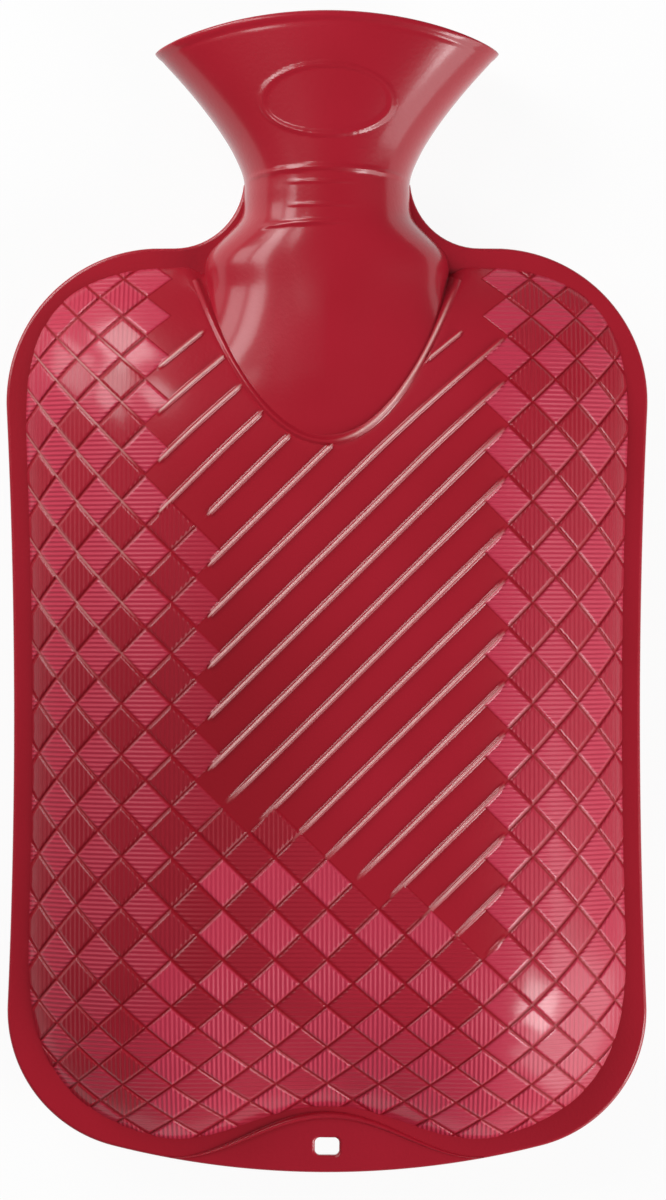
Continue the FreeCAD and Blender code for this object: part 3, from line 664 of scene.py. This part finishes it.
def make_front(material):
    """Patterned front skin, on a grid that runs along the diamonds' edges."""
    steps = lattice_steps()
    cells = range(-LATTICE_REACH, LATTICE_REACH)
    lines = np.array([cell + step for cell in cells for step in steps])
    p, q = np.meshgrid(lines, lines, indexing="ij")
    x, y = diamond_centres(p, q)
    near = (np.abs(x) < FRONT_HALF_WIDTH) & (y > FRONT_LOW_Y) & (y < FRONT_HIGH_Y)
    inside = near & (swell_height(x, y) > BORDER_HEIGHT)
    touched = inside[:-1, :-1] | inside[1:, :-1] | inside[:-1, 1:] | inside[1:, 1:]
    count = len(lines)
    faces = []
    for i, j in zip(*np.nonzero(touched)):
        first = i * count + j
        faces.append((first + 1, first + count + 1, first + count, first))
    used, faces = used_points(faces)
    flat_x, flat_y = pull_to_border(x.ravel()[used], y.ravel()[used], BORDER_HEIGHT)
    relief, looks = front_relief(p.ravel()[used], q.ravel()[used], flat_x, flat_y)
    z = MIDDLE_Z + swell_height(flat_x, flat_y) + relief
    points = np.stack([flat_x, flat_y, z], axis=1)
    return make_piece("front_skin", points, faces, material, "bottle", looks)


def make_back(material):
    """Plain back skin, flat where the bottle lies."""
    across = np.arange(-BACK_HALF_WIDTH, BACK_HALF_WIDTH + 1, BACK_SPACING)
    along = np.arange(BACK_LOW_Y, BACK_HIGH_Y, BACK_SPACING)
    x, y = np.meshgrid(across, along, indexing="ij")
    inside = swell_height(x, y) > BORDER_HEIGHT
    rows, columns = x.shape
    faces = []
    for face in grid_faces(rows, columns):
        if inside.ravel()[list(face)].any():
            faces.append(face)
    used, faces = used_points(faces)
    flat_x, flat_y = pull_to_border(x.ravel()[used], y.ravel()[used], BORDER_HEIGHT)
    height = np.minimum(MIDDLE_Z, swell_height(flat_x, flat_y, MIDDLE_Z + BACK_PRESS))
    points = np.stack([flat_x, flat_y, MIDDLE_Z - height], axis=1)
    return make_piece("back_skin", points, faces, material, "bottle")


def make_collar_band(material):
    """Groove round the collar on the front, with a narrow raised lip outside it and a painted highlight
    along the lip.
    """
    along = np.linspace(-BAND_HALF_WIDTH, BAND_HALF_WIDTH, BAND_POINTS)
    slope = 2 * along / COLLAR_CURVE
    length = np.sqrt(1 + slope**2)
    points = []
    crest_highlight = []
    for x, way, scale in zip(along, slope, length):
        for distance, lift in BAND_SECTION:
            place_x = x + distance * way / scale
            place_y = COLLAR_TIP_Y + x**2 / COLLAR_CURVE - distance / scale
            skin = max(BORDER_HEIGHT, float(swell_height(place_x, place_y)))
            points.append((place_x, place_y, MIDDLE_Z + skin + lift))
            # Painted highlight along the lip's top
            near = line_share(distance - LIP_MIDDLE, LIP_HALF)
            crest_highlight.append(float(near * ramp(x, LIP_START) * ramp(x, LIP_END)))
    faces = grid_faces(len(along), len(BAND_SECTION))
    faces = [tuple(reversed(face)) for face in faces]
    return make_piece("collar_band", points, faces, material, "bottle", {"crest_highlight": crest_highlight})


def arc_points(centre, radius, start, end, count):
    """Points on an arc, with angles in degrees; the end is left out."""
    angles = np.radians(np.linspace(start, end, count, endpoint=False))
    return [(centre[0] + radius * math.cos(a), centre[1] + radius * math.sin(a)) for a in angles]


def direction(start, end):
    """Angle in degrees of the way from one point to another."""
    return math.degrees(math.atan2(end[1] - start[1], end[0] - start[0]))


def edge_outline():
    """Right half of the welded edge's outline from the tab's lowest point to the neck."""
    bottom_centre = (0.0, BOTTOM_Y + BOTTOM_RADIUS)
    side_centre = (WAIST_X + SIDE_RADIUS, WAIST_Y)
    from_bottom = BOTTOM_RADIUS - BOTTOM_CORNER
    from_side = SIDE_RADIUS + BOTTOM_CORNER
    low = bottom_centre[1] - from_bottom
    high = CORNER_SEARCH_TOP
    for _ in range(CORNER_SEARCH_ROUNDS):
        y = (low + high) / 2
        x = math.sqrt(from_bottom**2 - (y - bottom_centre[1]) ** 2)
        inner = side_centre[0] - math.sqrt(from_side**2 - (y - WAIST_Y) ** 2)
        low, high = (y, high) if x < inner else (low, y)
    foot = (x, y)
    top_y = SHOULDER_Y - TOP_CORNER
    top_x = side_centre[0] - math.sqrt((SIDE_RADIUS + TOP_CORNER) ** 2 - (top_y - WAIST_Y) ** 2)
    top = (top_x, top_y)
    turn = direction(bottom_centre, foot)
    points = arc_points(bottom_centre, BOTTOM_RADIUS, -90.0, turn, 40)
    points += arc_points(foot, BOTTOM_CORNER, turn, direction(foot, side_centre), 32)
    low_side = direction(side_centre, foot) % 360
    high_side = direction(side_centre, top) % 360
    points += arc_points(side_centre, SIDE_RADIUS, low_side, high_side, 40)
    points += arc_points(top, TOP_CORNER, direction(top, side_centre), 90.0, 36)
    fillet_centre = (NECK_RADIUS + NECK_FILLET, SHOULDER_Y + NECK_FILLET)
    points += arc_points(fillet_centre, NECK_FILLET, 270.0, 180.0, 16)
    points.append((NECK_RADIUS - WALL, SHOULDER_Y + NECK_FILLET))
    return points


def slot_outline(half_width, half_height, corner, middle_y):
    """Rounded slot round a point on the middle line."""
    points = []
    for sign_x, sign_y, start in ((1, 1, 0), (-1, 1, 90), (-1, -1, 180), (1, -1, 270)):
        centre = (sign_x * (half_width - corner), middle_y + sign_y * (half_height - corner))
        points += arc_points(centre, corner, start, start + 90, HOLE_CORNER_POINTS)
    return points


def opening_outline():
    """Inner border of the welded edge, hidden under the skins."""
    angles = np.radians(np.arange(0, 360, INNER_DEGREES))
    reach = np.full(angles.shape, INNER_START)
    for _ in range(INNER_STEPS):
        x = reach * np.cos(angles)
        y = WAIST_Y + reach * np.sin(angles)
        reach = np.where(swell_height(x, y) > INNER_HEIGHT, reach + INNER_STEP, reach)
    return list(zip(reach * np.cos(angles), WAIST_Y + reach * np.sin(angles)))


def make_edge(material):
    """Flat welded edge with rounded borders, the hanging tab and its hole."""
    right = edge_outline()
    outline = right + [(-x, y) for x, y in reversed(right[1:])]
    curve = bpy.data.curves.new("welded_edge", "CURVE")
    curve.dimensions = "2D"
    curve.fill_mode = "BOTH"
    curve.extrude = (EDGE_THICKNESS / 2 - EDGE_ROUNDING) * MM
    curve.bevel_depth = EDGE_ROUNDING * MM
    curve.bevel_resolution = EDGE_ROUNDING_STEPS
    curve.offset = -EDGE_ROUNDING * MM
    hole = slot_outline(HOLE_HALF_WIDTH, HOLE_HALF_HEIGHT, HOLE_CORNER, HOLE_Y)
    for loop in (outline, hole, opening_outline()):
        spline = curve.splines.new("POLY")
        spline.points.add(len(loop) - 1)
        for point, (x, y) in zip(spline.points, loop):
            point.co = (x * MM, y * MM, 0.0, 1.0)
        spline.use_cyclic_u = True
    holder = bpy.data.objects.new("edge_curve", curve)
    bpy.context.scene.collection.objects.link(holder)
    bpy.context.view_layer.update()
    mesh = bpy.data.meshes.new_from_object(holder.evaluated_get(bpy.context.evaluated_depsgraph_get()))
    bpy.data.objects.remove(holder)
    points = [tuple(c / MM for c in vertex.co) for vertex in mesh.vertices]
    points = [(x, y, z + MIDDLE_Z) for x, y, z in points]
    faces = [tuple(polygon.vertices) for polygon in mesh.polygons]
    piece = make_piece("welded_edge", points, faces, material, "bottle")
    piece.data.set_sharp_from_angle(angle=math.radians(EDGE_SHARP_ANGLE))
    return piece


def make_tab_ridge(material):
    """Raised line on the arch over the tab, on both faces of the edge."""
    reach = RIDGE_REACH * ARCH_HALF_WIDTH
    along = np.linspace(-reach, reach, RIDGE_POINTS)
    share = np.sqrt(arch_share(along))
    top = outline_bottom(along) + ARCH_HEIGHT * share**2
    points = []
    profile = np.radians(np.linspace(0, 360, RIDGE_SIDES, endpoint=False))
    for x, y, width in zip(along, top, share):
        half = RIDGE_WIDTH / 2 * width
        for turn in profile:
            depth = (EDGE_THICKNESS / 2 + RIDGE_HEIGHT * width) * math.sin(turn)
            points.append((x, y - half + half * math.cos(turn), MIDDLE_Z + depth))
    faces = grid_faces(len(along), len(profile), closed=True)
    return make_piece("tab_ridge", points, faces, material, "bottle")


def smooth_through(places, values, at):
    """Smooth curve through values at growing places, read at other places."""
    places = np.asarray(places, float)
    values = np.asarray(values, float)
    slopes = np.gradient(values, places)
    index = np.clip(np.searchsorted(places, at) - 1, 0, len(places) - 2)
    span = places[index + 1] - places[index]
    share = (at - places[index]) / span
    first = (1 + 2 * share) * (1 - share) ** 2 * values[index]
    second = share * (1 - share) ** 2 * span * slopes[index]
    third = share**2 * (3 - 2 * share) * values[index + 1]
    fourth = share**2 * (share - 1) * span * slopes[index + 1]
    return first + second + third + fourth


def tube_sections():
    """Place, half width and half depth of the collar, neck and funnel sections."""
    rows = []
    for place, width, depth in COLLAR_SECTIONS:
        y = SHOULDER_Y - place * COLLAR_LENGTH
        rows.append((y, width * COLLAR_HALF_WIDTH, depth * MIDDLE_Z))
    rows.append((NECK_LOW_Y, NECK_RADIUS + NECK_LOW_EXTRA, NECK_RADIUS))
    rows.append((NECK_HIGH_Y, NECK_RADIUS, NECK_RADIUS))
    for share in np.arange(0.0, FLARE_END, FLARE_STEP):
        flare = (MOUTH_HALF_WIDTH - NECK_RADIUS - FLARE_MARGIN) * share**FLARE_POWER
        depth = NECK_RADIUS + (MOUTH_HALF_DEPTH - NECK_RADIUS) * share
        rows.append((SEAT_Y + share * FUNNEL_LENGTH, NECK_RADIUS + flare, depth))
    return rows


def tube_point(y, turn, inset):
    """Point on the tube at a place and a turn, moved inwards by the inset."""
    rows = tube_sections()
    places = [row[0] for row in rows]
    width = smooth_through(places, [row[1] for row in rows], y) - inset
    depth = smooth_through(places, [row[2] for row in rows], y) - inset
    return width * np.cos(turn), depth * np.sin(turn)


def rim_line(x):
    """Place of the curved mouth's end at a distance from the middle."""
    return RIM_Y - RIM_RADIUS + np.sqrt(RIM_RADIUS**2 - np.minimum(np.abs(x), MOUTH_HALF_WIDTH + 1) ** 2)


def oval_line(x, y):
    """Height share of the medallion's raised outline."""
    radius = np.hypot(x / OVAL_HALF_WIDTH, (y - OVAL_Y) / OVAL_HALF_HEIGHT)
    return line_share((radius - 1.0) * OVAL_MEAN_RADIUS, OVAL_LINE_HALF)


def thread_imprint(x, y, z):
    """Height share of the thread's ends that show on the neck."""
    front = (z > MIDDLE_Z).astype(float)
    upper = line_share(y - UPPER_MARK_Y + x**2 / UPPER_MARK_BEND, UPPER_MARK_HALF)
    upper = upper * ramp(np.abs(x), UPPER_MARK_END)
    lower = line_share(y - LOWER_MARK_Y + x**2 / LOWER_MARK_BEND, LOWER_MARK_HALF)
    lower = lower * ramp(x, LOWER_MARK_START) * ramp(x, LOWER_MARK_END)
    short = SHORT_MARK_SHARE * ramp(x, SHORT_MARK_START) * ramp(x, SHORT_MARK_END)
    marks = [upper, lower]
    for mark_y in SHORT_MARK_YS:
        marks.append(line_share(y - mark_y, SHORT_MARK_HALF) * short)
    return front * np.maximum.reduce(marks)


def make_neck(material):
    """Collar, neck and funnel with the mouth's rim, the seat inside and the threaded bore."""
    turns = np.radians(np.linspace(0, 360, TUBE_TURNS, endpoint=False))
    rings = []
    for y in np.concatenate([np.linspace(*COLLAR_RINGS), np.linspace(*NECK_RINGS)]):
        x, z = tube_point(np.full(turns.shape, y), turns, 0.0)
        keel = np.clip(1 - np.sqrt(x**2 + KEEL_ROUNDING) / KEEL_HALF_WIDTH, 0.0, 1.0) * (z > 0)
        z = z + KEEL_HEIGHT * keel * ramp(y, KEEL_START) * ramp(y, KEEL_END)
        rings.append([x, np.full(turns.shape, y), z])
    for share in np.linspace(0.0, 1.0, FUNNEL_RINGS):
        rings.append(funnel_ring(share, turns, 0.0))
    outer_count = len(rings) * len(turns)
    rim_outside = rings[-1]
    rim_inside = funnel_ring(1.0, turns, WALL)
    for inward in RIM_SHARES:
        rings.append([rim_outside[k] * (1 - inward) + rim_inside[k] * inward for k in range(3)])
    for share in np.linspace(1.0, LEAST_INSIDE_SHARE, INSIDE_RINGS):
        rings.append(funnel_ring(share, turns, WALL))
    for radius in (SEAT_INNER_RADIUS, BORE_RADIUS + BORE_CHAMFER):
        rings.append([radius * np.cos(turns), np.full(turns.shape, SEAT_Y), radius * np.sin(turns)])
    for y in np.linspace(SEAT_Y - BORE_CHAMFER, NECK_BASE_Y, BORE_RINGS):
        radius = BORE_RADIUS + THREAD_DEPTH * thread_profile(y, turns)
        rings.append([radius * np.cos(turns), np.full(turns.shape, y), radius * np.sin(turns)])
    points = np.concatenate([np.stack(ring, axis=1) for ring in rings])
    points = raised_marks(points, outer_count)
    points[:, 2] += MIDDLE_Z
    faces = grid_faces(len(rings), len(turns), closed=True)
    return make_piece("neck_and_funnel", points, faces, material, "bottle")


def funnel_ring(share, turns, inset):
    """Ring of the funnel at a share of the way from the seat to the curved rim."""
    y = np.full(turns.shape, SEAT_Y)
    for _ in range(RIM_ROUNDS):
        x, z = tube_point(y, turns, inset)
        y = SEAT_Y + share * (rim_line(x) - SEAT_Y)
    x, z = tube_point(y, turns, inset)
    return [x, y, z]


def thread_profile(y, turns):
    """Share of the thread's depth at a place, for a right-hand thread along Y."""
    phase = np.mod((y - NECK_BASE_Y) / THREAD_PITCH + turns / (2 * math.pi), 1.0)
    rise = smooth_step((THREAD_HALF - np.abs(phase - 0.5)) / THREAD_FLANK)
    ends = smooth_step((y - NECK_BASE_Y) / THREAD_RUN_OUT) * smooth_step((SEAT_Y - y) / THREAD_RUN_OUT)
    return rise * ends


def raised_marks(points, count):
    """Move the outer points out where the rim band, medallion and thread lines stand up."""
    x, y, z = points[:count, 0], points[:count, 1], points[:count, 2]
    below = y - (rim_line(x) - RIM_BAND / 2)
    band = np.sqrt(line_share(below, RIM_BAND / 2))
    band = band - RIM_GROOVE_DEPTH * line_share(below + RIM_GROOVE_BELOW, RIM_GROOVE_HALF)
    marks = np.where(y > SEAT_Y + MARKS_START, oval_line(x, y) * (z > 0), 0.0)
    marks = np.maximum(marks, thread_imprint(x, y, z + MIDDLE_Z))
    lift = RIM_BAND_HEIGHT * band + MARK_HEIGHT * marks
    length = np.hypot(x, z)
    points[:count, 0] = x + lift * x / length * MARK_SPREAD
    points[:count, 2] = z + lift * z / length
    return points


def make_stopper_thread(material):
    """Thread on the stopper's shank, which runs in the neck's."""
    turns = np.radians(np.linspace(0, 360, STOPPER_TURNS, endpoint=False))
    low = NECK_BASE_Y + STOPPER_THREAD_MARGIN
    high = SEAT_Y - STOPPER_THREAD_MARGIN
    rings = []
    for y in np.linspace(low, high, STOPPER_RINGS):
        height = (THREAD_DEPTH - 2 * THREAD_PLAY) * thread_profile(y, turns)
        radius = SHANK_RADIUS - THREAD_PLAY + height
        rings.append([radius * np.cos(turns), np.full(turns.shape, y), radius * np.sin(turns)])
    points = np.concatenate([np.stack(ring, axis=1) for ring in rings])
    points[:, 2] += MIDDLE_Z
    faces = grid_faces(len(rings), len(turns), closed=True)
    return make_piece("stopper_thread", points, faces, material, "stopper")


def dress_node(name, material):
    """Finish on a piece that keeps its own mesh."""
    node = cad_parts[name]
    node.data.materials.clear()
    node.data.materials.append(material)
    node.data.polygons.foreach_set("material_index", [0] * len(node.data.polygons))


# Floor and light, in metres
FLOOR_HALF_SIZE = 4.0
FLOOR_COLOUR = (0.9, 0.9, 0.9, 1.0)
FLOOR_GLOW = 0.93
WHITE = (1.0, 1.0, 1.0, 1.0)
SKY_STRENGTH = 0.09
LIGHT_TARGET = (0.0, 0.0, 0.03)

# Lamps: name, place, width, height and power
LAMPS = [
    ("upper_left", (-0.33, 0.46, 0.34), 0.24, 0.24, 1.5),
    ("left_high", (-0.90, 0.48, 0.85), 0.50, 0.34, 3.4),
    ("left_over", (-0.46, 0.52, 1.05), 0.30, 0.24, 1.6),
    ("left_low", (-1.10, 0.50, 0.42), 0.42, 0.42, 2.2),
    ("lower_right", (0.98, -0.52, 0.86), 0.45, 0.45, 7.0),
    ("low_right", (1.25, -0.80, 0.50), 1.4, 1.0, 13.0),
]


def add_floor():
    """Pale floor that looks white and keeps a soft shadow."""
    mesh = bpy.data.meshes.new("floor")
    half = FLOOR_HALF_SIZE
    corners = [(-half, -half, 0), (half, -half, 0), (half, half, 0), (-half, half, 0)]
    mesh.from_pydata(corners, [], [(0, 1, 2, 3)])
    floor = bpy.data.objects.new("floor", mesh)
    bpy.context.scene.collection.objects.link(floor)
    material, nodes, links = new_material("floor_paint")
    nodes.remove(nodes["Principled BSDF"])
    diffuse = nodes.new("ShaderNodeBsdfDiffuse")
    diffuse.inputs["Color"].default_value = FLOOR_COLOUR
    glow = nodes.new("ShaderNodeEmission")
    glow.inputs["Color"].default_value = WHITE
    path = nodes.new("ShaderNodeLightPath")
    seen = math_node(nodes, links, "MAXIMUM", path.outputs["Is Camera Ray"], path.outputs["Is Glossy Ray"])
    seen = math_node(nodes, links, "MAXIMUM", seen, path.outputs["Is Transmission Ray"])
    share = math_node(nodes, links, "MULTIPLY", seen, FLOOR_GLOW)
    mix = nodes.new("ShaderNodeMixShader")
    links.new(share, mix.inputs[0])
    links.new(diffuse.outputs[0], mix.inputs[1])
    links.new(glow.outputs[0], mix.inputs[2])
    links.new(mix.outputs[0], nodes["Material Output"].inputs["Surface"])
    mesh.materials.append(material)


def add_softbox(name, place, width, height, power):
    """Rectangular white lamp at a place, turned to the bottle's middle."""
    lamp = bpy.data.lights.new(name, "AREA")
    lamp.shape = "RECTANGLE"
    lamp.size = width
    lamp.size_y = height
    lamp.energy = power
    holder = bpy.data.objects.new(name, lamp)
    bpy.context.scene.collection.objects.link(holder)
    holder.location = place
    way = Vector(LIGHT_TARGET) - Vector(place)
    holder.rotation_mode = "QUATERNION"
    holder.rotation_quaternion = way.to_track_quat("-Z", "Y")


def add_lights():
    """Soft studio light, brighter from the upper left and the lower right."""
    for name, place, width, height, power in LAMPS:
        add_softbox(name, place, width, height, power)
    world = bpy.data.worlds.new("studio")
    world.use_nodes = True
    sky = world.node_tree.nodes["Background"]
    sky.inputs["Color"].default_value = WHITE
    sky.inputs["Strength"].default_value = SKY_STRENGTH
    bpy.context.scene.world = world


# The photograph's frame and where the object lies in it, in its pixels
FRAME_HEIGHT = 1200
PIXEL_SIZE = 0.28696
MIDDLE_PIXEL = (327.0, 597.0)
FRAME_MIDDLE = (333.0, 600.0)

# Camera's height in metres and the width of its sensor
CAMERA_HEIGHT = 1.2
SENSOR_WIDTH = 36.0


def add_camera():
    """Camera straight above, at the photograph's framing."""
    camera = bpy.data.cameras.new("camera")
    camera.sensor_fit = "AUTO"
    camera.sensor_width = SENSOR_WIDTH
    seen_height = FRAME_HEIGHT * PIXEL_SIZE * MM
    distance = CAMERA_HEIGHT - MIDDLE_Z * MM
    camera.lens = SENSOR_WIDTH * distance / seen_height
    holder = bpy.data.objects.new("camera", camera)
    bpy.context.scene.collection.objects.link(holder)
    x = (FRAME_MIDDLE[0] - MIDDLE_PIXEL[0]) * PIXEL_SIZE * MM
    y = (MIDDLE_PIXEL[1] - FRAME_MIDDLE[1]) * PIXEL_SIZE * MM
    holder.location = (x, y, CAMERA_HEIGHT)
    bpy.context.scene.camera = holder


def build():
    """All pieces, then the stage."""
    plastic = soft_plastic()
    front = make_front(plastic)
    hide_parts("bottle")
    make_back(plastic)
    make_edge(plastic)
    make_tab_ridge(plastic)
    make_collar_band(plastic)
    make_neck(plastic)
    stopper_plastic = plain_plastic(
        "stopper_plastic", STOPPER_RED, roughness=0.38, grain_scale=700.0, grain_depth=0.05
    )
    dress_node("stopper", stopper_plastic)
    make_stopper_thread(stopper_plastic)
    washer_rubber = plain_plastic(
        "washer_rubber", WASHER_GREY, roughness=0.62, grain_scale=1200.0, grain_depth=0.08
    )
    dress_node("sealing_washer", washer_rubber)
    add_floor()
    add_lights()
    add_camera()
    bpy.context.scene.view_settings.view_transform = "Standard"


build()
